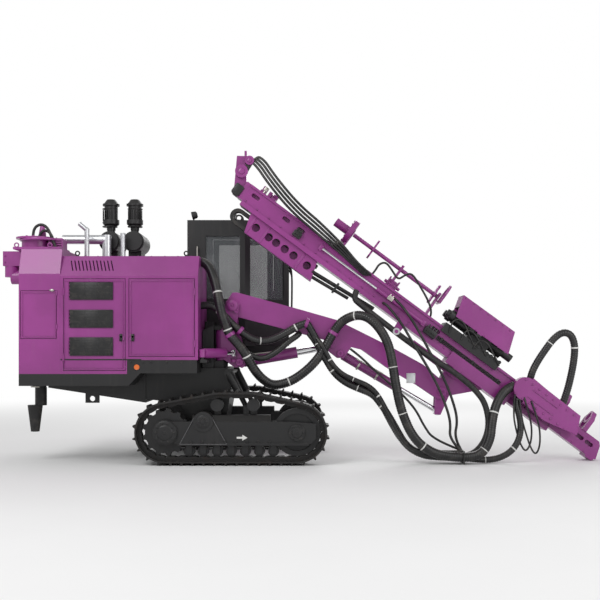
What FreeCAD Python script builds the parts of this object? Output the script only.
import FreeCAD, Part

import math
import os
import re

import Sketcher

# A crawler drilling rig in its transport pose.
# X runs forward, Y to the rig's left and Z up, in millimetres. The origin is on the ground, in the
# middle of the rig's length and width.

V = FreeCAD.Vector
X_AXIS = V(1, 0, 0)
Y_AXIS = V(0, 1, 0)
Z_AXIS = V(0, 0, 1)

# Driving sizes: name, value in millimetres or degrees.
SIZES = {
    # Tracks
    "track_gauge": 1870, "shoe_width": 330, "chain_width": 150, "sprocket_x": -1730, "idler_x": -73,
    "pitch_radius": 350, "shoe_lift": 8, "shoe_plate": 22, "grouser": 32, "chain_depth": 45,
    "hump_rise": 474, "shoe_count": 40, "tooth_count": 13, "wheel_width": 100, "axle_radius": 90,
    "hub_radius": 160, "roller_radius": 70, "roller_count": 7, "roller_first_x": -1432,
    "roller_pitch": 177, "roller_length": 130, "carrier_radius": 80, "carrier_rear_x": -1085,
    "carrier_pitch": 460, "carrier_sag": 8,
    # Track frames
    "frame_width": 240, "frame_plate": 30, "frame_bottom": 268, "frame_top": 625,
    "frame_shoulder": 525, "frame_rear_x": -1661, "frame_front_x": -174, "fork_front_x": 164,
    "core_rear_x": -1395, "core_front_x": -410, "pivot_x": -1251, "pivot_z": 549,
    "pivot_radius": 105, "pivot_plate_half": 290,
    # Chassis and deck
    "chassis_half": 380, "deck_half": 1100, "deck_rear_x": -3553, "deck_low": 1000,
    "deck_low_top": 1150, "deck_high": 1158, "deck_top": 1325, "deck_front_x": -1324,
    "step_x": -2180, "step_run": 144, "hook_x": -2740, "lamp_x": -2077, "level_x": -914, "level_z": 1150,
    "level_foot_x": -722, "level_foot_z": 700, "level_y": 690, "belly_half": 640,
    # Canopy
    "canopy_rear_x": -3036, "canopy_split_x": -2198, "canopy_front_x": -1311, "canopy_top": 2638,
    "canopy_bevel_z": 2384, "canopy_bevel": 150, "canopy_sheet": 30, "canopy_step_x": -1640,
    "door_gap": 6, "door_sheet": 24, "door_margin": 40, "canopy_notch_y": 0,
    "grille_first_x": -2926, "grille_last_x": -2376, "grille_height": 219, "grille_low_z": 1380,
    "grille_pitch": 350, "louvre_count": 5, "vent_count": 12, "latch_height": 14,
    # Dust collector
    "dust_rear_x": -3553, "dust_far_y": 60, "dust_top": 2725, "dust_bevel": 120, "drum_x": -3452,
    "drum_y": -700, "drum_radius": 172, "sleeve_x": -3408, "sleeve_y": -600, "sleeve_radius": 75,
    "sleeve_foot_z": 389, "inlet_x": -3797, "inlet_y": -600,
    # Air cleaners and pipes
    "cleaner_y": 260, "cleaner_x": -2663, "cleaner_gap": 330, "cleaner_radius": 145,
    "cleaner_z": 2941, "stack_x": -3016, "pipe_z": 2951, "pipe_radius": 62,
    # Cab
    "cab_rear_x": -1580, "cab_front_x": -197, "cab_right_y": 50, "cab_left_y": 1080,
    "cab_floor_z": 1500, "cab_roof_z": 3226, "cab_wall": 60, "cab_chamfer_x": -789,
    "cab_chamfer_y": 430, "sill_z": 2148, "lintel_z": 3007, "glass": 8,
    # Swing post, boom and cylinders
    "boom_y": -450, "swing_x": -1064, "lift_x": -919, "lift_z": 2027, "head_x": 1822,
    "head_z": 907, "boom_half": 105, "cheek_gap": 84, "pin_radius": 36,
    "lift_base_x": -827, "lift_base_z": 1289, "lift_eye_x": 399, "lift_eye_z": 1500,
    "lift_barrel": 74, "lift_rod": 42, "tilt_base_x": 491, "tilt_base_z": 1402, "tilt_eye_x": 1769,
    "tilt_eye_z": 643, "tilt_barrel": 62, "tilt_rod": 34, "swing_base_x": -1262,
    "swing_base_y": -1050, "swing_eye_x": -900, "swing_eye_y": -640, "swing_z": 1408,
    "swing_barrel": 62, "swing_rod": 30, "post_radius": 80,
    # Feed
    "feed_x": -709, "feed_z": 3640, "feed_angle": 36.5, "beam_length": 5735, "beam_height": 240,
    "beam_half": 125, "rail_height": 62, "rail_half": 150, "channel_first_u": 262,
    "channel_last_u": 1340, "channel_height": 256, "channel_half": 95, "chain_loop_u": 150,
    "chain_loop_radius": 118, "cradle_first_u": 3450, "cradle_last_u": 4400, "cradle_half": 185,
    "magazine_y": 410, "magazine_w": 330, "magazine_first_u": 1500, "magazine_last_u": 2905,
    "star_radius": 150, "head_first_u": 3160, "head_last_u": 4040, "guard_low_w": 196,
    "guard_top_w": 476, "comp_w": -430, "comp_y": -250, "comp_first_u": 2700, "comp_last_u": 3640,
    "hood_first_u": 4409, "hood_last_u": 5354, "hood_near_y": -330, "hood_far_y": -195,
    "slide_gap": 0.5, "side_gap": 5.5,
    # Fits
    "seat_gap": 0.3, "swing_gap": 6,
}

doc = FreeCAD.newDocument("DrillingRig")
sheet = doc.addObject("Spreadsheet::Sheet", "Sizes")
for row, (alias, value) in enumerate(SIZES.items(), start=1):
    sheet.set("A%d" % row, alias)
    sheet.set("B%d" % row, str(value))
    sheet.setAlias("B%d" % row, alias)
doc.recompute()


def size(alias):
    """One driving size as a number, for the outlines that a loop works out."""
    return float(getattr(sheet, alias))


def tied(formula):
    """A formula over the sheet's names, as the document writes it."""
    return re.sub(r"[a-z][a-z0-9_]*", lambda word: "Sizes." + word.group(0)
                  if word.group(0) in SIZES else word.group(0), str(formula))


def bind(item, **formulas):
    for name, formula in formulas.items():
        item.setExpression(name.replace("__", "."), tied(formula))


def at(item, x, y, z):
    bind(item, Placement__Base__x=x, Placement__Base__y=y, Placement__Base__z=z)
    return item


def turn(item, axis, angle):
    item.Placement = FreeCAD.Placement(V(0, 0, 0), FreeCAD.Rotation(axis, 30))
    bind(item, Placement__Rotation__Angle=angle)
    return item


def box(x0, x1, y0, y1, z0, z1):
    item = doc.addObject("Part::Box", "Block")
    bind(item, Length="(%s) - (%s)" % (x1, x0), Width="(%s) - (%s)" % (y1, y0),
         Height="(%s) - (%s)" % (z1, z0))
    return at(item, x0, y0, z0)


def cylinder(axis, x, y, z, radius, length):
    """A cylinder that starts at x, y, z and runs along one axis."""
    item = doc.addObject("Part::Cylinder", "Round")
    turns = {"x": (Y_AXIS, 90), "y": (X_AXIS, -90), "z": (Z_AXIS, 0)}
    direction, angle = turns[axis]
    item.Placement = FreeCAD.Placement(V(0, 0, 0), FreeCAD.Rotation(direction, angle))
    bind(item, Radius=radius, Height=length)
    return at(item, x, y, z)


def cone(axis, x, y, z, first_radius, last_radius, length):
    item = doc.addObject("Part::Cone", "Taper")
    turns = {"x": (Y_AXIS, 90), "y": (X_AXIS, -90), "z": (Z_AXIS, 0)}
    direction, angle = turns[axis]
    item.Placement = FreeCAD.Placement(V(0, 0, 0), FreeCAD.Rotation(direction, angle))
    bind(item, Radius1=first_radius, Radius2=last_radius, Height=length)
    return at(item, x, y, z)


def rod(x0, z0, x1, z1, y, radius, start=0, stop=0):
    """A round bar at one y, from one point to another, less a start and a stop."""
    item = doc.addObject("Part::Cylinder", "Bar")
    dx = "((%s) - (%s))" % (x1, x0)
    dz = "((%s) - (%s))" % (z1, z0)
    reach = "sqrt(%s^2 + %s^2)" % (dx, dz)
    turn(item, Y_AXIS, "atan2(%s; %s)" % (dx, dz))
    bind(item, Radius=radius, Height="%s - (%s) - (%s)" % (reach, start, stop))
    return at(item, "(%s) + %s * (%s) / %s" % (x0, dx, start, reach), y,
              "(%s) + %s * (%s) / %s" % (z0, dz, start, reach))


def prism(plane, outline, low, high):
    """A closed outline drawn on one plane and padded from low to high across it."""
    body = doc.addObject("PartDesign::Body", "Plate")
    sketch = body.newObject("Sketcher::SketchObject", "Outline")
    origin = [face for face in body.Origin.OriginFeatures if face.Role == plane + "_Plane"][0]
    sketch.AttachmentSupport = [(origin, "")]
    sketch.MapMode = "FlatFace"
    count = len(outline)
    rough = [V(math.cos(2 * math.pi * i / count), math.sin(2 * math.pi * i / count), 0) * 1000
             for i in range(count)]
    for i in range(count):
        sketch.addGeometry(Part.LineSegment(rough[i], rough[(i + 1) % count]), False)
    for i in range(count):
        sketch.addConstraint(Sketcher.Constraint("Coincident", i, 2, (i + 1) % count, 1))
    for i, corner in enumerate(outline):
        for kind, rough_value, formula in (("DistanceX", rough[i].x, corner[0]),
                                           ("DistanceY", rough[i].y, corner[1])):
            index = sketch.addConstraint(Sketcher.Constraint(kind, -1, 1, i, 1, rough_value))
            sketch.setExpression("Constraints[%d]" % index, tied(formula))
    pad = body.newObject("PartDesign::Pad", "Pad")
    pad.Profile = sketch
    pad.Midplane = True
    bind(pad, Length="(%s) - (%s)" % (high, low))
    across = {"XZ": "Placement__Base__y", "YZ": "Placement__Base__x", "XY": "Placement__Base__z"}
    bind(body, **{across[plane]: "((%s) + (%s)) / 2" % (high, low)})
    return body


def fuse(*items):
    if len(items) == 1:
        return items[0]
    item = doc.addObject("Part::MultiFuse", "Joined")
    item.Shapes = list(items)
    return item


def cut(base, *tools):
    item = doc.addObject("Part::Cut", "Cut")
    item.Base = base
    item.Tool = fuse(*tools)
    return item


def group(*items):
    item = doc.addObject("Part::Compound", "Set")
    item.Links = list(items)
    return item


def mirrored(item):
    """The same piece on the rig's other side."""
    twin = doc.addObject("Part::Mirroring", "Twin")
    twin.Source = item
    twin.Normal = Y_AXIS
    return twin


def solid(shape):
    item = doc.addObject("Part::Feature", "Form")
    item.Shape = shape
    return item


nodes = {}


def node(label, item, frame="rig"):
    """Names a finished sub-part. One on the feed is placed along the feed's slope."""
    if frame == "feed":
        holder = group(item)
        turn(holder, Y_AXIS, "feed_angle")
        item = at(holder, "feed_x", "boom_y", "feed_z")
    item.Label = label
    nodes[label] = item
    return item


# Tracks

def track_path():
    """The loop's pitch line: straight runs and round ends, as points with their outward ways."""
    radius = size("pitch_radius")
    ground = radius + size("shoe_lift") + size("shoe_plate") + size("grouser")
    rear, front = size("sprocket_x"), size("idler_x")
    crest = size("hump_rise") + ground
    first = size("carrier_rear_x")
    last = first + size("carrier_pitch")

    def leave(centre, target, side):
        """Where a run to the target leaves the wheel, as an angle."""
        dx, dz = target[0] - centre, target[1] - ground
        return math.atan2(dz, dx) - side * math.acos(radius / math.hypot(dx, dz))

    rear_angle = leave(rear, (first, crest), -1)
    front_angle = leave(front, (last, crest), 1)
    path = []

    def arc(centre, start, stop):
        steps = 48
        for step in range(steps + 1):
            angle = start + (stop - start) * step / steps
            path.append((centre + radius * math.cos(angle), ground + radius * math.sin(angle)))

    arc(rear, 1.5 * math.pi, rear_angle if rear_angle > 0 else rear_angle + 2 * math.pi)
    path.append((first, crest))
    path.append((last, crest))
    arc(front, front_angle, -0.5 * math.pi)
    path.append(path[0])
    return path


def along(path, distance):
    """The point at a distance along the path, and the outward way there."""
    total = 0
    for (x0, z0), (x1, z1) in zip(path, path[1:]):
        step = math.hypot(x1 - x0, z1 - z0)
        if step > 0 and total + step >= distance:
            share = (distance - total) / step
            ahead = ((x1 - x0) / step, (z1 - z0) / step)
            return (x0 + share * (x1 - x0), z0 + share * (z1 - z0)), (-ahead[1], ahead[0])
        total += step
    return path[-1], (-1.0, 0.0)


def track_outline(rows):
    """A closed outline that repeats rows of (share of the pitch, height) at every shoe."""
    path = track_path()
    length = sum(math.hypot(b[0] - a[0], b[1] - a[1]) for a, b in zip(path, path[1:]))
    count = int(size("shoe_count"))
    pitch = length / count
    points = []
    for shoe in range(count):
        for share, height in rows:
            (x, z), (nx, nz) = along(path, ((shoe + 0.5 + share) * pitch) % length)
            points.append(V(x + nx * height, 0, z + nz * height))
    points.append(points[0])
    return Part.Face(Part.makePolygon(points))


def track_loop():
    lift, plate = size("shoe_lift"), size("shoe_lift") + size("shoe_plate")
    tip = plate + size("grouser")
    depth = size("chain_depth")
    shoes = track_outline([(-0.5, plate), (-0.16, plate), (-0.04, tip), (0.04, tip), (0.1, plate)])
    inner = track_outline([(-0.5, lift), (0.0, lift)])
    links = track_outline([(-0.5, -0.7 * depth), (-0.25, -depth), (0.25, -depth)])
    width, chain = size("shoe_width"), size("chain_width")
    band = shoes.cut(inner).extrude(Y_AXIS * width)
    band.translate(Y_AXIS * (-size("track_gauge") / 2 - width / 2))
    rail = inner.cut(links).extrude(Y_AXIS * chain)
    rail.translate(Y_AXIS * (-size("track_gauge") / 2 - chain / 2))
    return solid(band.fuse(rail).Solids[0])


track = track_loop()
node("track_right", track)
node("track_left", mirrored(track))

AXLE_Z = "(pitch_radius + shoe_lift + shoe_plate + grouser)"
MIDDLE = "(-track_gauge / 2)"
WHEEL = "(pitch_radius - chain_depth - 4)"


def toothed_wheel():
    """The drive wheel: a ring of teeth round a dished disc, with a bore for its axle."""
    teeth, outer = int(size("tooth_count")), size("pitch_radius") - size("chain_depth") - 4
    ring = []
    for tooth in range(teeth):
        for share, radius in ((-0.3, 0.88), (-0.14, 1.0), (0.14, 1.0), (0.3, 0.88)):
            angle = 2 * math.pi * (tooth + share) / teeth
            ring.append(V(outer * radius * math.cos(angle), 0, outer * radius * math.sin(angle)))
    ring.append(ring[0])
    width = size("wheel_width")
    wheel = Part.Face(Part.makePolygon(ring)).extrude(Y_AXIS * width)
    wheel.translate(V(size("sprocket_x"), -size("track_gauge") / 2 - width / 2,
                      size("pitch_radius") + size("shoe_lift") + size("shoe_plate")
                      + size("grouser")))
    return solid(wheel)


def bored(item, x, z):
    hole = cylinder("y", x, MIDDLE + " - 200", z, "axle_radius + seat_gap", 400)
    return cut(item, hole)


drive = bored(toothed_wheel(), "sprocket_x", AXLE_Z)
node("sprockets", group(drive, mirrored(drive)))
rim = cylinder("y", "idler_x", MIDDLE + " - wheel_width / 2", AXLE_Z, WHEEL, "wheel_width")
dish = [cylinder("y", "idler_x", MIDDLE + place, AXLE_Z, WHEEL + " * 0.78", "wheel_width * 0.3")
        for place in (" - wheel_width / 2 - 1", " + wheel_width * 0.2 + 1")]
idler = bored(cut(rim, *dish), "idler_x", AXLE_Z)
node("idlers", group(idler, mirrored(idler)))

rollers = []
for index in range(int(size("roller_count"))):
    x = "(roller_first_x + %d * roller_pitch)" % index
    z = "(shoe_lift + shoe_plate + grouser + chain_depth + roller_radius + seat_gap)"
    barrel = cylinder("y", x, MIDDLE + " - roller_length / 2", z, "roller_radius", "roller_length")
    ends = [box(x + " - 38", x + " + 38", MIDDLE + " + %d * roller_length / 2 + %d" % (side, low),
                MIDDLE + " + %d * roller_length / 2 + %d" % (side, low + 30), z + " - 42",
                "frame_bottom") for side, low in ((-1, -30), (1, 0))]
    rollers.append(fuse(barrel, *ends))
carrier_z = "(pitch_radius + shoe_lift + shoe_plate + grouser + hump_rise - chain_depth"
carrier_z += " - carrier_radius - carrier_sag)"
for index in range(2):
    x = "(carrier_rear_x + %d * carrier_pitch)" % index
    barrel = cylinder("y", x, MIDDLE + " - roller_length / 2", carrier_z, "carrier_radius",
                      "roller_length")
    stand = box(x + " - 40", x + " + 40", MIDDLE + " + roller_length / 2",
                MIDDLE + " + roller_length / 2 + 35", "frame_top", carrier_z + " + 45")
    rollers.append(fuse(barrel, stand))
node("track_rollers", group(*(rollers + [mirrored(item) for item in rollers])))

OUTER = "(-track_gauge / 2 - frame_width / 2)"
INNER = "(-track_gauge / 2 + frame_width / 2)"
core = prism("YZ", [(OUTER, "frame_bottom"), (INNER, "frame_bottom"), (INNER, "frame_top"),
                    (OUTER + " + 90", "frame_top"), (OUTER, "frame_shoulder")],
             "core_rear_x", "core_front_x")
sides = []
for face, far in ((OUTER, OUTER + " + frame_plate"), (INNER + " - frame_plate", INNER)):
    sides.append(prism("XZ", [
        ("frame_rear_x - 130", "frame_bottom + 90"), ("frame_rear_x + 60", "frame_bottom"),
        ("fork_front_x - 60", "frame_bottom"), ("fork_front_x", "frame_bottom + 70"),
        ("fork_front_x", "frame_shoulder"), ("frame_front_x", "frame_shoulder + 25"),
        ("frame_rear_x", "frame_shoulder + 25"), ("frame_rear_x - 130", "frame_bottom + 210")],
        face, far))
axles = [cylinder("y", x, OUTER, AXLE_Z, "axle_radius", "frame_width")
         for x in ("sprocket_x", "idler_x")]
hub = fuse(cylinder("y", "sprocket_x", OUTER + " - 22", AXLE_Z, "hub_radius", "22 + 1"),
           cone("y", "sprocket_x", OUTER + " - 36", AXLE_Z, "hub_radius * 0.6",
                "hub_radius * 0.8", "36"))
cap = cylinder("y", "idler_x", OUTER + " - 14", AXLE_Z, "axle_radius * 0.8", "14 + 1")
lip = box("frame_rear_x + 90", "fork_front_x - 90", OUTER + " - 14", OUTER + " + 1",
          "frame_bottom - 18", "frame_bottom + 14")
pivot_plate = prism("XZ", [
    ("pivot_x - pivot_plate_half", "frame_bottom + 14"),
    ("pivot_x + pivot_plate_half", "frame_bottom + 14"),
    ("pivot_x + pivot_radius", "pivot_z + 20"), ("pivot_x - pivot_radius", "pivot_z + 20")],
    OUTER + " - 16", OUTER + " + 1")
pivot_boss = cylinder("y", "pivot_x", OUTER + " - 30", "pivot_z", "pivot_radius + 20",
                      "frame_width + 30")
level_lug = box("level_foot_x - 35", "level_foot_x + 35", INNER + " - 52", INNER + " - 5",
                "frame_top - 1", "level_foot_z + 42")
level_pin = cylinder("y", "level_foot_x", INNER + " - 10", "level_foot_z", 25,
                     "track_gauge / 2 - frame_width / 2 - level_y + 55")
frame = fuse(core, *sides, *axles, hub, cap, lip, pivot_plate, pivot_boss, level_lug, level_pin)
node("track_frames", group(frame, mirrored(frame)))

# Chassis and levelling cylinders
saddle = prism("XZ", [
    ("step_x + step_run", "deck_high"), ("step_x + step_run", "deck_low - 190"),
    ("pivot_x - 330", "deck_low - 240"), ("pivot_x - 230", "pivot_z - 120"),
    ("pivot_x + 230", "pivot_z - 120"), ("pivot_x + 290", "deck_low - 240"),
    ("level_x - 10", "deck_low"), ("level_x - 60", "deck_high + 58"),
    ("deck_front_x + seat_gap", "deck_high + 58"), ("deck_front_x + seat_gap", "deck_high")],
    "-chassis_half - 250", "chassis_half")
shafts = [cylinder("y", "pivot_x", y, "pivot_z", "pivot_radius", length) for y, length in
          (("-track_gauge / 2 + frame_width / 2", "track_gauge - frame_width"),)]
level_bar = cylinder("y", "level_x - 40", "-level_y - 50", "level_z", 28, "2 * level_y + 100")
column = prism("XZ", [
    ("canopy_front_x + door_gap", "deck_high + 57"), ("swing_x - 96", "deck_high + 57"),
    ("swing_x - 96", "swing_z + 360"), ("canopy_front_x + door_gap", "swing_z + 300")],
    "boom_y - 150", "boom_y + 150")
lugs = []
for low, high in (("deck_high + 57", "deck_high + 150"), ("swing_z + 305", "swing_z + 360")):
    lug = fuse(box("swing_x - 100", "swing_x", "boom_y - post_radius", "boom_y + post_radius", low,
                   high),
               cylinder("z", "swing_x", "boom_y", low, "post_radius", "(%s) - (%s)" % (high, low)))
    lugs.append(lug)
king_pin = cylinder("z", "swing_x", "boom_y", "deck_high + 81", "pin_radius",
                    "swing_z + 360 - deck_high - 82")
swing_lug = fuse(box("swing_base_x - 22", "swing_base_x + 60", "swing_base_y - 40",
                     "boom_y - 149", "swing_z - 118", "swing_z - 78"),
                 cylinder("z", "swing_base_x", "swing_base_y", "swing_z - 118", 40, 40),
                 cylinder("z", "swing_base_x", "swing_base_y", "swing_z - 100", 24, 150))
node("chassis", fuse(saddle, *shafts, level_bar, column, *lugs, king_pin, swing_lug))

level_cylinders = []
for side in (-1, 1):
    y = "%d * level_y" % side
    reach = ("level_foot_x", "level_foot_z", "level_x - 40", "level_z", y)
    body = fuse(rod(*reach, 54, 170, 0), rod(*reach, 34, 0, 60),
                cylinder("y", "level_foot_x", y + " - 32", "level_foot_z", 52, 64),
                cylinder("y", "level_x - 40", y + " - 32", "level_z", 58, 64))
    level_cylinders.append(cut(body, *[
        cylinder("y", x, y + " - 70", z, radius, 140)
        for x, z, radius in (("level_foot_x", "level_foot_z", "25 + seat_gap"),
                             ("level_x - 40", "level_z", "28 + seat_gap"))]))
node("levelling_cylinders", group(*level_cylinders))

# Deck: the black skirt under the canopy, with its raised front and the bar under the cab
deck = prism("XZ", [
    ("deck_rear_x", "deck_low"), ("step_x", "deck_low"), ("step_x + step_run", "deck_high"),
    ("deck_front_x", "deck_high"), ("deck_front_x", "deck_top"), ("canopy_split_x", "deck_top"),
    ("canopy_split_x", "deck_low_top"), ("deck_rear_x", "deck_low_top")],
    "-deck_half", "deck_half")
cab_base = prism("XZ", [
    ("deck_front_x + seat_gap", "deck_high + 60"), ("cab_front_x - 60", "cab_floor_z - 120"),
    ("cab_front_x - 60", "cab_floor_z"), ("cab_rear_x + 60", "cab_floor_z"),
    ("cab_rear_x + 60", "deck_top + seat_gap"), ("deck_front_x + seat_gap", "deck_top + seat_gap")],
    "cab_right_y + 90", "cab_left_y - 90")
belly = prism("XZ", [
    ("deck_rear_x + 250", "deck_low + 1"), ("deck_rear_x + 250", "deck_low - 40"),
    ("step_x + step_run - 1", "deck_low - 235"), ("step_x + step_run - 1", "deck_low + 158"),
    ("step_x", "deck_low + 1")], "-belly_half", "belly_half")
hook = cut(box("hook_x - 90", "hook_x + 90", "-belly_half + 40", "-belly_half + 70",
               "deck_low - 240", "deck_low - 60"),
           cylinder("y", "hook_x", "-belly_half + 30", "deck_low - 185", 35, 50))
lamp_z = "deck_low_top + 86"
lamp_rooms = [cylinder("y", "lamp_x", y, lamp_z, "34 + seat_gap", "32")
              for y in ("-deck_half - 2", "deck_half - 30")]
node("deck", group(cut(fuse(deck, belly, hook), *lamp_rooms), cab_base))
lamp = cylinder("y", "lamp_x", "-deck_half - latch_height / 2", lamp_z, "34",
                "30 + latch_height / 2 - seat_gap")
node("side_lamps", group(lamp, mirrored(lamp)))

# Canopy: the engine room's sheet walls, with door openings on both sides


def canopy_section(inset, floor):
    """The canopy's cross-section, one sheet in from the outside when inset is the sheet."""
    side = "(deck_half - %s)" % inset
    crown = "(deck_half - canopy_bevel - %s)" % inset
    top = "canopy_top - %s" % inset
    return [("-" + side, floor), (side, floor), (side, "canopy_bevel_z"), (crown, top), ("-" + crown, top),
            ("-" + side, "canopy_bevel_z")]


rear_room = prism("YZ", canopy_section("0", "deck_low_top"), "canopy_rear_x", "canopy_split_x")
front_room = prism("YZ", canopy_section("0", "deck_top"), "canopy_split_x", "canopy_front_x")
hollow = prism("YZ", canopy_section("canopy_sheet", "deck_top"), "canopy_rear_x + canopy_sheet",
               "canopy_front_x - canopy_sheet")
cab_room = box("canopy_step_x", "canopy_front_x + 10", "canopy_notch_y", "deck_half + 10",
               "deck_top - 5", "canopy_top + 10")
cab_wall = box("canopy_step_x - canopy_sheet", "canopy_front_x - canopy_sheet - 1",
               "canopy_notch_y - canopy_sheet", "deck_half - canopy_sheet", "deck_top",
               "canopy_top - canopy_sheet + 1")
rear_tray = box("canopy_rear_x + canopy_sheet", "canopy_split_x + 1", "-deck_half + canopy_sheet",
                "deck_half - canopy_sheet", "deck_low_top", "deck_top + 1")
inner_room = cut(hollow, cab_wall)
shell = cut(fuse(rear_room, front_room), inner_room, rear_tray, cab_room)
DOORS = [
    # name, rear x, front x, foot z, side of the rig, hinge at the front
    ("engine_door_rear", "canopy_rear_x + door_margin", "canopy_split_x - door_margin / 2",
     "deck_low_top + door_margin", -1, False),
    ("engine_door_front", "canopy_split_x + door_margin / 2", "canopy_front_x - door_margin",
     "deck_top + door_margin", -1, True),
    ("engine_door_left", "canopy_rear_x + door_margin", "canopy_split_x - door_margin / 2",
     "deck_low_top + door_margin", 1, False),
]
door_holes = []
doors = {}


def hinge_barrels(x, y, low, high, radius):
    """Two hinge barrels on an upright hinge line, one near each end."""
    return [cylinder("z", x, y, z, radius, 90) for z in ("%s + 120" % low, "%s - 210" % high)]


for name, rear, front, foot, side, hinge_front in DOORS:
    near = "-deck_half" if side < 0 else "deck_half - canopy_sheet"
    hinge_x = "(%s - door_gap / 2)" % front if hinge_front else "(%s + door_gap / 2)" % rear
    hinge_y = "%d * deck_half" % side
    span = (foot, "canopy_bevel_z - door_margin")
    door_holes += hinge_barrels(hinge_x, hinge_y, *span, "latch_height + seat_gap")
    door_holes.append(box(rear, front, near + " - 5", near + " + canopy_sheet + 5", foot,
                          "canopy_bevel_z - door_margin"))
    low = "-deck_half" if side < 0 else "deck_half - door_sheet"
    panel = box(rear + " + door_gap", front + " - door_gap", low, low + " + door_sheet",
                foot + " + door_gap", "canopy_bevel_z - door_margin - door_gap")
    doors[name] = fuse(panel, *hinge_barrels(hinge_x, hinge_y, *span, "latch_height"))
vents = []
for index in range(int(size("vent_count"))):
    x = "(canopy_rear_x + 125 + %d * 46)" % index
    slot = prism("XZ", [(x + " + 20", "canopy_bevel_z + 60"), (x + " + 34", "canopy_bevel_z + 60"),
                        (x + " - 6", "canopy_top - 60"), (x + " - 20", "canopy_top - 60")],
                 "-deck_half - 10", "-deck_half + canopy_bevel + 20")
    vents.append(slot)
rear_grille_hole = box("canopy_rear_x - 5", "canopy_rear_x + canopy_sheet + 5", "dust_far_y + 260",
                       "deck_half - 140", "deck_top + 120", "canopy_bevel_z - 60")
node("canopy", cut(shell, *door_holes, *vents, rear_grille_hole))

# Louvred grilles in the rear doors and in the rear wall

def louvre_bank(first_x, last_x, low_z, height, count, near, far):
    """Sloping blades inside a window, one row above the next, between near and far."""
    blades = []
    for index in range(count):
        step = "((%s) / %d)" % (height, count)
        z = "((%s) + (%d + 0.5) * %s)" % (low_z, index, step)
        blades.append(prism("YZ", [
            (near, z + " - 0.42 * " + step), (near, z + " - 0.18 * " + step),
            (far, z + " + 0.44 * " + step), (far, z + " + 0.2 * " + step)], first_x, last_x))
    return blades


for name, rear, front, foot, side, hinge_front in DOORS:
    door = doors[name]
    sheet_low, sheet_high, face_low, face_high = {
        -1: ("-deck_half", "-deck_half + door_sheet", "-deck_half - latch_height", "-deck_half + 1"),
        1: ("deck_half - door_sheet", "deck_half", "deck_half - 1", "deck_half + latch_height"),
    }[side]
    latch_x = "(%s + 32)" % rear if hinge_front else "(%s - 32)" % front
    if not hinge_front:
        blade_y = [sheet_low + " + 2", sheet_high + " - 2"]
        near, far = blade_y if side < 0 else reversed(blade_y)
        for bank in range(3):
            z = "(grille_low_z + %d * grille_pitch)" % bank
            door = cut(door, box("grille_first_x", "grille_last_x", sheet_low + " - 5",
                                 sheet_high + " + 5", z, z + " + grille_height"))
            door = fuse(door, *louvre_bank("grille_first_x - 2", "grille_last_x + 2", z,
                                           "grille_height", int(size("louvre_count")), near, far))
    door = fuse(door, box(latch_x + " - 20", latch_x + " + 20", face_low, face_high,
                          "grille_low_z + 190", "grille_low_z + 240"))
    node(name, door)

slats = []
for index in range(13):
    z = "(deck_top + 125 + %d * 65)" % index
    slats.append(prism("XZ", [("canopy_rear_x", z), ("canopy_rear_x", z + " + 12"),
                              ("canopy_rear_x + canopy_sheet", z + " + 48"),
                              ("canopy_rear_x + canopy_sheet", z + " + 36")],
                       "dust_far_y + 260", "deck_half - 140"))
rims = [box("canopy_rear_x", "canopy_rear_x + canopy_sheet", low, high, "deck_top + 120",
            "canopy_bevel_z - 60")
        for low, high in (("dust_far_y + 260 + seat_gap", "dust_far_y + 280"),
                          ("deck_half - 160", "deck_half - 140 - seat_gap"))]
node("cooler_grille", fuse(*slats, *rims))
node("engine_block", box("canopy_rear_x + 500", "canopy_front_x - 500", "-620", "-canopy_sheet - 60",
                         "deck_top", "deck_top + 850"))

# Dust collector at the rear right corner
housing = prism("YZ", [
    ("-deck_half", "deck_low_top"), ("dust_far_y", "deck_low_top"), ("dust_far_y", "dust_top"),
    ("-deck_half + dust_bevel", "dust_top"), ("-deck_half", "canopy_bevel_z + 20")],
    "dust_rear_x", "canopy_rear_x")
dust_recess = box("dust_rear_x + 20", "canopy_rear_x - 42", "-deck_half - 5", "-deck_half + 300",
                  "deck_low_top + 440", "canopy_bevel_z - 190")
dust_hinge_z = ("deck_low_top + 560", "deck_low_top + 980")
hinge_rooms = [cylinder("z", "canopy_rear_x - 45", "-deck_half", z + " - 1",
                        "latch_height + seat_gap", 62) for z in dust_hinge_z]
node("dust_collector", cut(housing, dust_recess, *hinge_rooms))
dust_panel = box("dust_rear_x + 26", "canopy_rear_x - 48", "-deck_half", "-deck_half + door_sheet",
                 "deck_low_top + 446", "canopy_bevel_z - 196")
hinges = [cylinder("z", "canopy_rear_x - 45", "-deck_half", z, "latch_height", 60)
          for z in dust_hinge_z]
node("dust_door", fuse(dust_panel, *hinges))
drum = fuse(
    box("drum_x - 215", "drum_x + 380", "drum_y - 260", "drum_y + 260", "dust_top",
        "dust_top + 30"),
    cylinder("z", "drum_x", "drum_y", "dust_top + 29", "drum_radius", "124"),
    cylinder("z", "drum_x", "drum_y", "dust_top + 150", "drum_radius + 70", "22"),
    cylinder("z", "drum_x + 90", "drum_y", "dust_top + 171", "46", "60"),
    cone("z", "drum_x + 90", "drum_y", "dust_top + 230", "46", "26", "110"),
    cut(box("drum_x + 200", "drum_x + 380", "drum_y - 120", "drum_y + 120", "dust_top + 29",
            "dust_top + 155"),
        *[box("drum_x + 215", "drum_x + 365", "drum_y - 130", "drum_y - 90", z, z + " + 14")
          for z in ("dust_top + 50", "dust_top + 80", "dust_top + 110")]))
node("dust_fan", drum)
inlet = fuse(
    box("inlet_x - 80", "dust_rear_x", "inlet_y - 90", "inlet_y + 90", "dust_top - 190",
        "dust_top - seat_gap"),
    cylinder("z", "inlet_x + 16", "inlet_y", "dust_top - 330", "92", "145"),
    cylinder("x", "inlet_x + 16", "inlet_y", "dust_top - 330", "92",
             "dust_rear_x - inlet_x - 16"))
node("dust_inlet", inlet)
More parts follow.
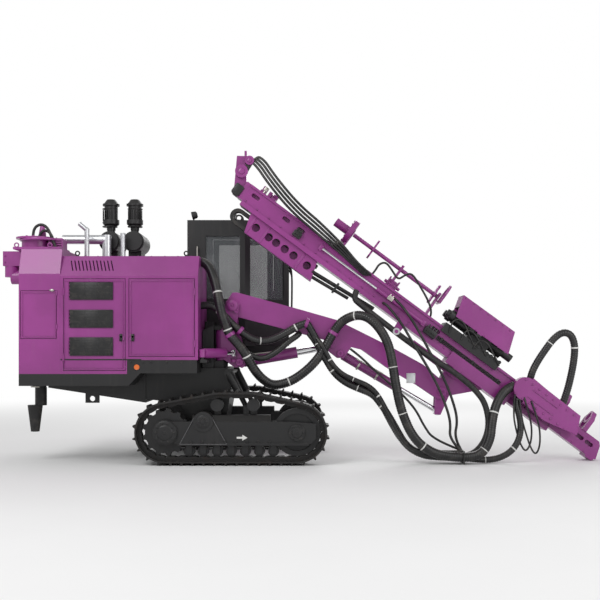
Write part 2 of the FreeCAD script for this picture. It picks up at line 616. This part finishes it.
sleeve = fuse(
    cylinder("z", "sleeve_x", "sleeve_y", "deck_low - 40", "sleeve_radius - 5", "40"),
    cylinder("z", "sleeve_x", "sleeve_y", "deck_low - 270", "sleeve_radius", "232"),
    cone("z", "sleeve_x - 75", "sleeve_y", "sleeve_foot_z", "sleeve_radius - 20",
         "sleeve_radius + 22", "deck_low - 268 - sleeve_foot_z"))
node("dust_sleeve", sleeve)

# Air cleaners, precleaners, pipes on the canopy's roof
cleaners = []
precleaners = []
for index in range(2):
    x = "(cleaner_x + %d * cleaner_gap)" % index
    can = fuse(cylinder("y", x, "cleaner_y - 120", "cleaner_z", "cleaner_radius", "560"),
               cylinder("y", x, "cleaner_y - 150", "cleaner_z", "cleaner_radius - 22", "32"),
               cylinder("z", x, "cleaner_y", "cleaner_z", "54", "cleaner_radius + 22"))
    foot = box(x + " - 90", x + " + 90", "cleaner_y", "cleaner_y + 320", "canopy_top",
               "cleaner_z - 90")
    cleaners.append(fuse(can, foot))
    base = "(cleaner_z + cleaner_radius + 22)"
    precleaners.append(fuse(
        cylinder("z", x, "cleaner_y", base, "60", "45"),
        cone("z", x, "cleaner_y", base + " + 44", "66", "112", "40"),
        cylinder("z", x, "cleaner_y", base + " + 83", "112", "60"),
        cylinder("z", x, "cleaner_y", base + " + 142", "92", "196"),
        cylinder("z", x, "cleaner_y", base + " + 337", "116", "28"),
        cone("z", x, "cleaner_y", base + " + 364", "104", "58", "62")))
node("air_cleaners", group(*cleaners))
node("precleaners", group(*precleaners))
silver = fuse(
    cylinder("x", "canopy_rear_x - 234", "0", "pipe_z", "pipe_radius", "600"),
    cylinder("z", "canopy_rear_x + 366", "0", "canopy_top", "pipe_radius",
             "pipe_z - canopy_top + pipe_radius"))
stack = fuse(cylinder("z", "stack_x + 130", "-260", "canopy_top", "32", "430"),
             rod("stack_x + 130", "canopy_top + 415", "stack_x + 30", "canopy_top + 500", "-260",
                 "32"))
down_pipe = cylinder("z", "cleaner_x + cleaner_gap / 2 + 50", "-20", "canopy_top", "34", "400")
node("roof_pipes", group(silver, stack, down_pipe))

# Cab, open inside, with its windows cut
FLOOR = [("cab_rear_x", "cab_right_y"), ("cab_chamfer_x", "cab_right_y"),
         ("cab_front_x", "cab_chamfer_y"), ("cab_front_x", "cab_left_y"),
         ("cab_rear_x", "cab_left_y")]
ROOM = [("cab_rear_x + cab_wall", "cab_right_y + cab_wall"),
        ("cab_chamfer_x - 18", "cab_right_y + cab_wall"),
        ("cab_front_x - cab_wall", "cab_chamfer_y + 28"),
        ("cab_front_x - cab_wall", "cab_left_y - cab_wall"),
        ("cab_rear_x + cab_wall", "cab_left_y - cab_wall")]
cab_block = prism("XY", FLOOR, "cab_floor_z", "cab_roof_z")
cab_hollow = prism("XY", ROOM, "cab_floor_z + cab_wall", "cab_roof_z - cab_wall")
cab_windows = [
    box("cab_rear_x + 250", "cab_chamfer_x - 70", "cab_right_y - 5", "cab_right_y + cab_wall + 5",
        "sill_z", "lintel_z"),
    box("cab_front_x - cab_wall - 5", "cab_front_x + 5", "cab_chamfer_y + 90", "cab_left_y - 90",
        "cab_floor_z + 330", "lintel_z"),
    box("cab_rear_x - 5", "cab_rear_x + cab_wall + 5", "cab_right_y + 200", "cab_left_y - 150",
        "canopy_top + 60", "lintel_z"),
]
SLANT = "atan2(cab_chamfer_y - cab_right_y; cab_front_x - cab_chamfer_x)"


def on_slant(start, stop, near, far, low, high):
    """A block along the cab's slanted corner, from its rear post."""
    item = doc.addObject("Part::Box", "Slanted")
    turn(item, Z_AXIS, SLANT)
    bind(item, Length="(%s) - (%s)" % (stop, start), Width="(%s) - (%s)" % (far, near),
         Height="(%s) - (%s)" % (high, low))
    return at(item, "cab_chamfer_x + (%s) * cos(%s) - (%s) * sin(%s)" % (start, SLANT, near, SLANT),
              "cab_right_y + (%s) * sin(%s) + (%s) * cos(%s)" % (start, SLANT, near, SLANT), low)


SLANT_LENGTH = "sqrt((cab_front_x - cab_chamfer_x)^2 + (cab_chamfer_y - cab_right_y)^2)"
cab_windows.append(on_slant("80", SLANT_LENGTH + " - 80", "-10", "cab_wall + 30", "sill_z",
                            "lintel_z"))
DOOR_REAR, DOOR_FRONT = "cab_rear_x + 260", "cab_front_x - 230"
cab_windows.append(box(DOOR_REAR, DOOR_FRONT, "cab_left_y - cab_wall - 5", "cab_left_y + 5",
                       "cab_floor_z + 110", "lintel_z + 60"))
CAB_SPAN = ("cab_floor_z + 110", "lintel_z + 60")
cab_windows += hinge_barrels(DOOR_REAR + " + door_gap / 2", "cab_left_y", *CAB_SPAN,
                             "latch_height + seat_gap")
roof_eye = cut(cylinder("y", "(cab_rear_x + cab_front_x) / 2", "300", "cab_roof_z + 40", "70", "30"),
               cylinder("y", "(cab_rear_x + cab_front_x) / 2", "290", "cab_roof_z + 60", "30", "50"))
node("cab", fuse(cut(cab_block, cab_hollow, *cab_windows), roof_eye))
panes = [
    box("cab_rear_x + 250 + seat_gap", "cab_chamfer_x - 70 - seat_gap", "cab_right_y + 20",
        "cab_right_y + 20 + glass", "sill_z + seat_gap", "lintel_z - seat_gap"),
    box("cab_front_x - 20 - glass", "cab_front_x - 20", "cab_chamfer_y + 90 + seat_gap",
        "cab_left_y - 90 - seat_gap", "cab_floor_z + 330 + seat_gap", "lintel_z - seat_gap"),
    box("cab_rear_x + 20", "cab_rear_x + 20 + glass", "cab_right_y + 200 + seat_gap",
        "cab_left_y - 150 - seat_gap", "canopy_top + 60 + seat_gap", "lintel_z - seat_gap"),
    on_slant("80 + seat_gap", SLANT_LENGTH + " - 80 - seat_gap", "20", "20 + glass",
             "sill_z + seat_gap", "lintel_z - seat_gap"),
]
node("cab_windows", group(*panes))
leaf = fuse(box(DOOR_REAR + " + door_gap", DOOR_FRONT + " - door_gap", "cab_left_y - 40",
                "cab_left_y", "cab_floor_z + 110 + door_gap", "lintel_z + 60 - door_gap"),
            *hinge_barrels(DOOR_REAR + " + door_gap / 2", "cab_left_y", *CAB_SPAN, "latch_height"))
leaf_hole = box(DOOR_REAR + " + 90", DOOR_FRONT + " - 90", "cab_left_y - 50", "cab_left_y + 10",
                "cab_floor_z + 420", "lintel_z - 20")
node("cab_door", cut(leaf, leaf_hole))
node("cab_door_glass", box(DOOR_REAR + " + 90 + seat_gap", DOOR_FRONT + " - 90 - seat_gap",
                           "cab_left_y - 28", "cab_left_y - 28 + glass",
                           "cab_floor_z + 420 + seat_gap", "lintel_z - 20 - seat_gap"))
SEAT_X, SEAT_Y = "(cab_rear_x + 560)", "((cab_right_y + cab_left_y) / 2 + 60)"
seat = fuse(
    box(SEAT_X + " - 200", SEAT_X + " + 200", SEAT_Y + " - 180", SEAT_Y + " + 180",
        "cab_floor_z + cab_wall", "cab_floor_z + cab_wall + 320"),
    box(SEAT_X + " - 250", SEAT_X + " + 270", SEAT_Y + " - 250", SEAT_Y + " + 250",
        "cab_floor_z + cab_wall + 319", "cab_floor_z + cab_wall + 440"),
    prism("XZ", [(SEAT_X + " - 250", "cab_floor_z + cab_wall + 330"),
                 (SEAT_X + " - 130", "cab_floor_z + cab_wall + 430"),
                 (SEAT_X + " - 210", "cab_floor_z + cab_wall + 1120"),
                 (SEAT_X + " - 310", "cab_floor_z + cab_wall + 1120")],
          SEAT_Y + " - 230", SEAT_Y + " + 230"))
node("cab_seat", seat)
desk = fuse(
    box("cab_front_x - cab_wall - 190", "cab_front_x - cab_wall", SEAT_Y + " - 60",
        SEAT_Y + " + 220", "cab_floor_z + cab_wall", "cab_floor_z + 700"),
    prism("XZ", [("cab_front_x - cab_wall - 240", "cab_floor_z + 690"),
                 ("cab_front_x - cab_wall", "cab_floor_z + 690"),
                 ("cab_front_x - cab_wall", "cab_floor_z + 860"),
                 ("cab_front_x - cab_wall - 240", "cab_floor_z + 740")],
          SEAT_Y + " - 160", SEAT_Y + " + 320"))
node("cab_console", desk)
cabinet = box("canopy_front_x + 10", "swing_x - 130", "boom_y + 160", "canopy_notch_y - 40",
              "deck_high + 100", "deck_top + 500")
node("valve_cabinet", cabinet)

# Swing post: turns about the king pin and carries the boom's foot
bore = cylinder("z", "swing_x", "boom_y", "deck_high + 100", "pin_radius + seat_gap", "900")
tube = cylinder("z", "swing_x", "boom_y", "deck_high + 150 + swing_gap", "post_radius",
                "swing_z + 305 - deck_high - 150 - 2 * swing_gap")
ears = []
for low, high in (("boom_y - boom_half - 45", "boom_y - boom_half - 10"),
                  ("boom_y + boom_half + 10", "boom_y + boom_half + 45")):
    ears.append(prism("XZ", [
        ("swing_x", "deck_high + 150 + swing_gap + 40"), ("lift_base_x - 60", "lift_base_z - 70"),
        ("lift_base_x + 70", "lift_base_z - 60"), ("lift_base_x + 80", "lift_base_z + 60"),
        ("lift_x + 60", "lift_z - 260"), ("lift_x + 95", "lift_z + 30"), ("lift_x + 20", "lift_z + 95"),
        ("lift_x - 80", "lift_z + 60"), ("swing_x", "swing_z + 250")], low, high))
web = box("swing_x + 60", "lift_base_x - 75", "boom_y - boom_half - 12", "boom_y + boom_half + 12",
          "lift_base_z + 60", "swing_z + 280")
lift_pins = [cylinder("y", x, "boom_y - boom_half - 60", z, "pin_radius",
                      "2 * boom_half + 120")
             for x, z in (("lift_x", "lift_z"), ("lift_base_x", "lift_base_z"))]
swing_ear = fuse(box("swing_eye_x - 60", "swing_eye_x + 34", "swing_eye_y - 10",
                     "boom_y - boom_half - 20", "swing_z - 118", "swing_z - 78"),
                 cylinder("z", "swing_eye_x", "swing_eye_y", "swing_z - 118", 34, 40))
node("boom_post", cut(fuse(tube, *ears, web, *lift_pins, swing_ear), bore))

# Boom: a tapered box with a forked head, its two cylinder brackets below
B_LOW, B_HIGH = "boom_y - boom_half", "boom_y + boom_half"
boom_box = prism("XZ", [
    ("lift_x - 75", "lift_z + 60"), ("lift_x - 75", "lift_z - 60"), ("lift_x + 8", "lift_z - 132"),
    ("lift_x + 601", "lift_z - 285"), ("tilt_base_x + 119", "lift_z - 535"),
    ("tilt_base_x + 277", "lift_z - 574"), ("head_x - 729", "head_z + 314"),
    ("head_x - 330", "head_z + 80"), ("head_x - 250", "head_z + 352"),
    ("head_x - 648", "head_z + 571"), ("lift_x + 1367", "lift_z - 187"),
    ("lift_x + 883", "lift_z - 49"), ("lift_x + 63", "lift_z + 173"), ("lift_x - 2", "lift_z + 171")],
    B_LOW, B_HIGH)
cheeks = []
for low, high in ((B_LOW, "boom_y - cheek_gap"), ("boom_y + cheek_gap", B_HIGH)):
    cheeks.append(prism("XZ", [
        ("head_x - 400", "head_z + 130"), ("head_x - 60", "head_z - 100"),
        ("head_x + 60", "head_z - 80"), ("head_x + 95", "head_z + 10"),
        ("head_x + 60", "head_z + 90"), ("head_x - 250", "head_z + 352"),
        ("head_x - 400", "head_z + 430")], low, high))
head_pin = cylinder("y", "head_x", B_LOW + " - 15", "head_z", "pin_radius", "2 * boom_half + 30")
brackets = []
for low, high in ((B_LOW, B_LOW + " + 22"), (B_HIGH + " - 22", B_HIGH)):
    brackets.append(prism("XZ", [
        ("tilt_base_x - 95", "lift_z - 480"), ("tilt_base_x - 150", "lift_z - 530"),
        ("lift_eye_x - 60", "lift_eye_z - 70"), ("tilt_base_x - 40", "tilt_base_z - 60"),
        ("tilt_base_x + 50", "tilt_base_z - 55"), ("tilt_base_x + 150", "lift_z - 530"),
        ("tilt_base_x + 119", "lift_z - 480")], low, high))
base_pin = cylinder("y", "tilt_base_x", B_LOW + " - 12", "tilt_base_z", "pin_radius",
                    "2 * boom_half + 24")
eye_stubs = [cylinder("y", "lift_eye_x", y, "lift_eye_z", "pin_radius", "30")
             for y in (B_LOW + " - 12", B_HIGH + " - 18")]
clear_foot = cylinder("y", "lift_x", B_LOW + " - 20", "lift_z", "pin_radius + seat_gap",
                      "2 * boom_half + 40")
eye_room = cylinder("y", "lift_eye_x", B_LOW + " + 22", "lift_eye_z", "lift_barrel + 56",
                    "2 * boom_half - 44")
node("boom", cut(fuse(cut(boom_box, eye_room), *cheeks, head_pin, *brackets, base_pin, *eye_stubs),
                 clear_foot))

# Cylinders: each barrel turns on its base pin, and each rod slides in its barrel


def barrel_and_rod(name, x0, z0, x1, z1, y, barrel, stem, gland, half, inset):
    """A hydraulic cylinder lying in one upright plane, from its base eye to its rod's eye."""
    reach = (x0, z0, x1, z1, y)
    base_eye = cylinder("y", x0, "%s - (%s)" % (y, half), z0, "%s - 6" % barrel, "2 * (%s)" % half)
    body = fuse(rod(*reach, barrel, "%s - 20" % barrel, gland), base_eye)
    clear = [rod(*reach, "%s + seat_gap" % stem, 110, 0),
             cylinder("y", x0, "%s - 300" % y, z0, "pin_radius + seat_gap", 600)]
    node(name + "_barrel", cut(body, *clear))
    stem_bar = rod(*reach, stem, inset, 30)
    rod_eye = cylinder("y", x1, "%s - (%s)" % (y, half), z1, "%s - 8" % barrel, "2 * (%s)" % half)
    pin_bore = cylinder("y", x1, "%s - 300" % y, z1, "pin_radius", 600)
    node(name + "_rod", cut(fuse(stem_bar, rod_eye), pin_bore))


barrel_and_rod("lift_cylinder", "lift_base_x", "lift_base_z", "lift_eye_x", "lift_eye_z", "boom_y",
               "lift_barrel", "lift_rod", 480, "boom_half - 30", 140)
barrel_and_rod("tilt_cylinder", "tilt_base_x", "tilt_base_z", "tilt_eye_x", "tilt_eye_z", "boom_y",
               "tilt_barrel", "tilt_rod", 640, 50, 430)


def flat_bar(radius, start, stop):
    """A round bar in the level plane of the swing cylinder."""
    item = doc.addObject("Part::Cylinder", "Level")
    dx, dy = "(swing_eye_x - swing_base_x)", "(swing_eye_y - swing_base_y)"
    reach = "sqrt(%s^2 + %s^2)" % (dx, dy)
    item.Placement = FreeCAD.Placement(V(0, 0, 0), FreeCAD.Rotation(V(-1, 1, 0), 90))
    bind(item, Placement__Rotation__Axis__x="-%s / %s" % (dy, reach),
         Placement__Rotation__Axis__y="%s / %s" % (dx, reach))
    bind(item, Radius=radius, Height="%s - (%s) - (%s)" % (reach, start, stop))
    return at(item, "swing_base_x + %s * (%s) / %s" % (dx, start, reach),
              "swing_base_y + %s * (%s) / %s" % (dy, start, reach), "swing_z")


swing_body = fuse(flat_bar("swing_barrel", "20", "166"),
                  cylinder("z", "swing_base_x", "swing_base_y", "swing_z - 50", "40", "100"))
node("swing_cylinder_barrel", cut(swing_body, flat_bar("swing_rod + seat_gap", "52", "0"),
                                  cylinder("z", "swing_base_x", "swing_base_y", "swing_z - 150",
                                           "24 + seat_gap", "300")))
swing_stem = fuse(flat_bar("swing_rod", "190", "20"),
                  cylinder("z", "swing_eye_x", "swing_eye_y", "swing_z - 40", "34", "80"))
node("swing_cylinder_rod", cut(swing_stem, cylinder("z", "swing_eye_x", "swing_eye_y",
                                                    "swing_z - 150", "20", "300")))

# Feed: u runs down along the beam from its top end, w stands square on it, y from its middle
BEAM_FOOT = "beam_length"
beam_box = prism("XZ", [("-15", "0"), (BEAM_FOOT + " - 40", "0"), (BEAM_FOOT, "-40"),
                        (BEAM_FOOT + " + 60", "-beam_height + 20"), (BEAM_FOOT + " - 30", "-beam_height"),
                        ("-15", "-beam_height")], "-beam_half", "beam_half")
rail = box("80", "beam_length - 690", "-rail_half", "rail_half", "-beam_height - rail_height",
           "-beam_height + 1")
top_rail = box("60", "beam_length - 500", "-rail_half", "rail_half", "-30", "-0")
slots = []
for u, length in ((193, 70), (689, 60), (927, 60), (3112, 80), (5449, 70), (5600, 70)):
    slots.append(fuse(
        cylinder("y", "%d - %d / 2" % (u, length), "-rail_half - 20", "-beam_height * 0.42", "26", "120"),
        cylinder("y", "%d + %d / 2" % (u, length), "-rail_half - 20", "-beam_height * 0.42", "26", "120"),
        box("%d - %d / 2" % (u, length), "%d + %d / 2" % (u, length), "-rail_half - 20",
            "-rail_half + 100", "-beam_height * 0.42 - 26", "-beam_height * 0.42 + 26")))
foot_pad = prism("XZ", [
    (BEAM_FOOT + " - 90", "-beam_height + 1"), (BEAM_FOOT + " + 40", "-beam_height + 20"),
    (BEAM_FOOT + " + 22", "-beam_height - 25"), (BEAM_FOOT + " - 80", "-beam_height - 25")],
    "-beam_half", "beam_half")
comp_lug = fuse(box("comp_first_u - 50", "comp_first_u + 50", "comp_y + 60", "-rail_half + 1",
                    "-beam_height - rail_height", "-beam_height - rail_height + 60"),
                prism("XZ", [("comp_first_u - 60", "-beam_height - rail_height + 60"),
                             ("comp_first_u + 60", "-beam_height - rail_height + 60"),
                             ("comp_first_u + 40", "comp_w - 40"), ("comp_first_u - 40", "comp_w - 40")],
                      "comp_y + 58", "comp_y + 90"),
                cylinder("y", "comp_first_u", "comp_y - 45", "comp_w", "24", "130"))
posts = [fuse(box("%d" % u, "%d + 70" % u, "-beam_half", "beam_half", "0", "26"),
              box("%d" % u, "%d + 70" % u, "-30", "30", "25", "%d" % high))
         for u, high in ((190, 100), (360, 86))]
node("feed_beam", fuse(cut(fuse(beam_box, rail, top_rail), *slots), foot_pad, *posts, comp_lug), "feed")

channel = prism("XZ", [
    ("channel_first_u", "-beam_height - rail_height - seat_gap"),
    ("channel_last_u", "-beam_height - rail_height - seat_gap"),
    ("channel_last_u + 80", "-beam_height - rail_height - channel_height"),
    ("channel_first_u + 80", "-beam_height - rail_height - channel_height")],
    "-channel_half", "channel_half")
channel_room = box("channel_first_u - 50", "channel_last_u + 100", "-channel_half + 14",
                   "channel_half - 14", "-beam_height - rail_height - channel_height + 14",
                   "-beam_height - rail_height - 16")
channel_holes = [cylinder("y", "%d" % u, "-channel_half - 10", "-beam_height - rail_height - 118", "54",
                          "40") for u in (430, 640, 760, 899, 1041, 1260)]
node("hose_channel", cut(channel, channel_room, *channel_holes), "feed")


def drag_chain():
    """The hose chain: two straight runs and the round bend at the channel's upper end."""
    low = -size("beam_height") - size("rail_height") - size("channel_height") + 14.3
    radius = size("chain_loop_radius") - 12
    thick = 46
    bend = size("chain_loop_u")
    centre = low + radius
    half = size("channel_half") - 20
    last = size("channel_last_u") + 40
    outer = [V(last, 0, low), V(bend, 0, low)]
    inner = [V(bend, 0, low + thick), V(last, 0, low + thick)]
    steps = 9
    sweep = [math.radians(270 - 180 * step / steps) for step in range(steps + 1)]
    outside = [V(bend + radius * math.cos(a), 0, centre + radius * math.sin(a)) for a in sweep]
    inside = [V(bend + (radius - thick) * math.cos(a), 0, centre + (radius - thick) * math.sin(a))
              for a in sweep]
    high = centre + radius
    points = [V(last, 0, low)] + outside + [V(last, 0, high), V(last, 0, high - thick)]
    points += inside[::-1] + [V(last, 0, low + thick), V(last, 0, low)]
    shape = Part.Face(Part.makePolygon(points)).extrude(Y_AXIS * 2 * half)
    shape.translate(Y_AXIS * -half)
    return solid(shape)


node("drag_chain", drag_chain(), "feed")

top_bracket = fuse(
    prism("XZ", [("-15 - 95", "-beam_height + 70"), ("-15", "-beam_height + 20"), ("-15", "-20"),
                 ("-80", "60"), ("-200", "280"), ("-330", "190")], "-90", "90"),
    box("-15 - 60", "-15", "-90", "90", "-beam_height + 20", "-20"),
    rod("-200", "200", "-290", "320", "0", "16"))
node("feed_top", top_bracket, "feed")
# Rod magazine beside the beam
M_Y, M_W = "magazine_y", "magazine_w"
shaft = cylinder("x", "magazine_first_u", M_Y, M_W, "28", "magazine_last_u - magazine_first_u")
star_plates = []
for u in ("magazine_first_u + 320", "magazine_last_u - 60"):
    disc = cylinder("x", u, M_Y, M_W, "star_radius", "26")
    bites = []
    for arm in range(6):
        angle = "%d" % (60 * arm + 30)
        bites.append(cylinder("x", u + " - 10",
                              "magazine_y + (star_radius + 6) * cos(%s)" % angle,
                              "magazine_w + (star_radius + 6) * sin(%s)" % angle, "46", "46"))
    star_plates.append(cut(disc, *bites))
node("rod_magazine", fuse(shaft, *star_plates), "feed")
stands = []
for u, width in (("magazine_first_u - 40", 34), ("magazine_first_u + 780", 34),
                 ("magazine_last_u + 0.3", 34)):
    leg = prism("YZ", [("beam_half", "-beam_height + 60"), ("beam_half", "-85"), ("215", "-85"),
                       ("magazine_y - 60", "magazine_w - 60"), ("magazine_y - 60", "magazine_w + 60"),
                       ("magazine_y + 60", "magazine_w + 60"), ("magazine_y + 60", "magazine_w - 60"),
                       ("285", "-beam_height + 60")], u, "%s + %d" % (u, width))
    stands.append(cut(leg, cylinder("x", u + " - 30", M_Y, M_W, "28 + seat_gap", "120")))
motor = fuse(cylinder("x", "magazine_first_u - 300", M_Y, M_W, "62", "230"),
             cylinder("x", "magazine_first_u - 80", M_Y, M_W, "100", "40"))
stands[0] = fuse(stands[0], motor)
node("magazine_stands", group(*stands), "feed")
hoop_outer = cylinder("x", "magazine_last_u + 60", M_Y, "magazine_w + 60", "170", "26")
hoop = cut(hoop_outer, cylinder("x", "magazine_last_u + 50", M_Y, "magazine_w + 60", "148", "50"),
           box("magazine_last_u + 50", "magazine_last_u + 100", M_Y + " - 250", M_Y + " + 250",
               "magazine_w - 300", "magazine_w + 60"))
hoop_legs = [box("magazine_last_u + 60", "magazine_last_u + 86", low, high, "magazine_w - 45",
                 "magazine_w + 60") for low, high in ((M_Y + " - 170", M_Y + " - 148"),
                                                      (M_Y + " + 148", M_Y + " + 170"))]
tie_bar = box("magazine_last_u + 60", "magazine_last_u + 86", M_Y + " - 170", M_Y + " + 170",
              "magazine_w - 70", "magazine_w - 44")
link = box("magazine_last_u + 34.6", "magazine_last_u + 61", M_Y + " - 38", M_Y + " + 40",
           "magazine_w - 60", "magazine_w - 44")
node("hose_hoop", fuse(hoop, *hoop_legs, tie_bar, link), "feed")

# Rotary head: a sled on the beam's rails, a gearbox and the sloping guard
sled = fuse(
    box("head_first_u", "head_last_u", "-beam_half - 10", "beam_half + 10", "slide_gap", "60"),
    box("head_first_u", "head_last_u", "-rail_half - 42", "-rail_half - 6", "-70", "60"),
    box("head_first_u", "head_last_u", "rail_half + 6", "rail_half + 42", "-70", "60"),
    box("head_first_u", "head_last_u", "-rail_half - 42", "rail_half + 42", "32", "60"))
gearbox = fuse(
    prism("YZ", [("-150", "59"), ("150", "59"), ("150", "210"), ("90", "300"), ("-90", "300"),
                 ("-150", "210")], "head_first_u + 330", "head_first_u + 640"),
    cylinder("x", "head_first_u + 639", "0", "190", "90", "200"),
    cylinder("x", "head_first_u + 838", "0", "190", "52", "150"),
    cylinder("x", "head_first_u + 60", "-70", "170", "62", "272"),
    cylinder("x", "head_first_u + 60", "70", "170", "62", "272"))
guard_shell = cut(
    prism("XZ", [("head_first_u - 30", "guard_top_w"), ("head_last_u - 94", "guard_top_w + 8"),
                 ("head_last_u + 11", "guard_low_w"), ("head_first_u + 52", "guard_low_w - 6")],
          "-210", "210"),
    prism("XZ", [("head_first_u - 10", "guard_top_w - 16"), ("head_last_u - 106", "guard_top_w - 8"),
                 ("head_last_u + 40", "guard_low_w - 20"), ("head_first_u + 40", "guard_low_w - 20")],
          "-194", "194"))
guard_arms = [box("head_first_u + 400", "head_first_u + 470", low, high, "150", "180")
              for low, high in (("-210", "-140"), ("140", "210"))]
node("rotary_head", fuse(sled, gearbox, *guard_arms), "feed")
node("head_guard", fuse(guard_shell, *[
    box("head_first_u + 400", "head_first_u + 470", low, high, "180", "guard_low_w + 60")
    for low, high in (("-210", "-194"), ("194", "210"))]), "feed")

# Cradle: carries the beam on the boom's head
C_DOWN = "-beam_height - rail_height - slide_gap"
cradle = fuse(
    box("cradle_first_u", "cradle_last_u", "-cradle_half", "cradle_half", C_DOWN + " - 60", C_DOWN),
    *[box("cradle_first_u", "cradle_last_u", low, high, C_DOWN + " - 1", "-beam_height + 46")
      for low, high in (("-cradle_half", "-rail_half - side_gap"),
                        ("rail_half + side_gap", "cradle_half"))],
    *[box("cradle_first_u", "cradle_last_u", low, high, "-beam_height + 8", "-beam_height + 46")
      for low, high in (("-cradle_half", "-beam_half - side_gap"),
                        ("beam_half + side_gap", "cradle_half"))])
HEAD_U = "((head_x - feed_x) * cos(feed_angle) - (head_z - feed_z) * sin(feed_angle))"
HEAD_W = "((head_x - feed_x) * sin(feed_angle) + (head_z - feed_z) * cos(feed_angle))"
LEVER_U = "((tilt_eye_x - feed_x) * cos(feed_angle) - (tilt_eye_z - feed_z) * sin(feed_angle))"
LEVER_W = "((tilt_eye_x - feed_x) * sin(feed_angle) + (tilt_eye_z - feed_z) * cos(feed_angle))"
lug_plates = []
for low, high in (("-cheek_gap + 6", "-52 - seat_gap"), ("52 + seat_gap", "cheek_gap - 6")):
    lug_plates.append(prism("XZ", [
        ("cradle_first_u + 60", C_DOWN + " - 59"), (HEAD_U + " - 95", HEAD_W + " - 10"),
        (LEVER_U + " - 60", LEVER_W + " + 10"), (LEVER_U + " - 10", LEVER_W + " - 58"),
        (LEVER_U + " + 55", LEVER_W + " - 15"), (HEAD_U + " + 110", HEAD_W + " + 10"),
        ("cradle_last_u - 330", C_DOWN + " - 59")], low, high))
lever_stubs = [cylinder("y", LEVER_U, y, LEVER_W, "pin_radius", "20")
               for y in ("-cheek_gap + 4", "cheek_gap - 24")]
lug_core = prism("XZ", [
    ("cradle_first_u + 60", C_DOWN + " - 59"), (HEAD_U + " - 95", HEAD_W + " - 10"),
    (HEAD_U + " - 60", HEAD_W + " - 90"), (HEAD_U + " + 60", HEAD_W + " - 90"),
    (HEAD_U + " + 110", HEAD_W + " + 10"), ("cradle_last_u - 330", C_DOWN + " - 59")],
    "-53", "53")
head_bore = cylinder("y", HEAD_U, "-200", HEAD_W, "pin_radius + seat_gap", "400")
comp_seat = fuse(
    prism("XZ", [("comp_last_u - 60", "comp_w - 40"), ("comp_last_u + 60", "comp_w - 40"),
                 ("comp_last_u + 60", C_DOWN + " - 20"), ("comp_last_u - 60", C_DOWN + " - 20")],
          "comp_y + 58", "-cradle_half + 1"),
    cylinder("y", "comp_last_u", "comp_y - 45", "comp_w", "24", "130"))
node("cradle", cut(fuse(cradle, *lug_plates, lug_core, *lever_stubs, comp_seat), head_bore), "feed")

# Feed extension cylinder: its rod is held by the beam, its barrel by the cradle
comp_body = fuse(cylinder("x", "comp_first_u + 250", "comp_y", "comp_w", "48",
                          "comp_last_u - comp_first_u - 290"),
                 cylinder("y", "comp_last_u", "comp_y - 40", "comp_w", "46", "80"))
comp_clear = [cylinder("x", "comp_first_u + 200", "comp_y", "comp_w", "26 + seat_gap",
                       "comp_last_u - comp_first_u - 290"),
              cylinder("y", "comp_last_u", "comp_y - 90", "comp_w", "24 + seat_gap", "180")]
node("extension_barrel", cut(comp_body, *comp_clear), "feed")
comp_stem = fuse(cylinder("x", "comp_first_u + 30", "comp_y", "comp_w", "26",
                          "comp_last_u - comp_first_u - 150"),
                 cylinder("y", "comp_first_u", "comp_y - 40", "comp_w", "46", "80"))
node("extension_rod", cut(comp_stem, cylinder("y", "comp_first_u", "comp_y - 90", "comp_w",
                                              "24 + seat_gap", "180")), "feed")

# Suction hood and rod support at the feed's foot
hood = fuse(
    prism("XZ", [("hood_first_u + 60", "132"), ("hood_first_u + 280", "117"),
                 ("hood_last_u - 111", "101"), ("hood_last_u", "-127"),
                 ("hood_last_u - 448", "-227"), ("hood_first_u + 133", "-206")],
          "hood_near_y", "hood_far_y"),
    cylinder("y", "hood_first_u + 60", "hood_near_y", "-40", "150", "hood_far_y - hood_near_y"),
    *[box(u, u + " + 90", "hood_far_y - 1", "-beam_half", "-150", "-40")
      for u in ("hood_first_u + 200", "hood_last_u - 250")])
node("suction_hood", hood, "feed")
jaws = []
for u in (5020, 5420):
    arms = [prism("YZ", [("%d * 60" % s, "0"), ("%d * 140" % s, "0"), ("%d * 140" % s, "180"),
                         ("%d * 60" % s, "250"), ("%d * 60" % s, "210"), ("%d * 100" % s, "160")],
                  "%d" % u, "%d + 60" % u) for s in (-1, 1)]
    ring = cut(cylinder("x", "%d" % u, "0", "190", "95", "60"),
               cylinder("x", "%d - 10" % u, "0", "190", "58", "80"))
    jaws.append(fuse(*arms, ring))
node("rod_support", group(*jaws), "feed")

doc.recompute()
for item in doc.Objects:
    if "Invalid" in item.State or "Error" in item.State:
        raise RuntimeError("%s has failed: %s" % (item.Name, item.State))
for label, item in nodes.items():
    if item.Shape.isNull() or not item.Shape.isValid():
        raise RuntimeError("%s has no valid shape" % label)
os.makedirs("parts", exist_ok=True)
for label, item in nodes.items():
    item.Shape.exportStep("parts/%s.step" % label)
print(len(nodes), "nodes")
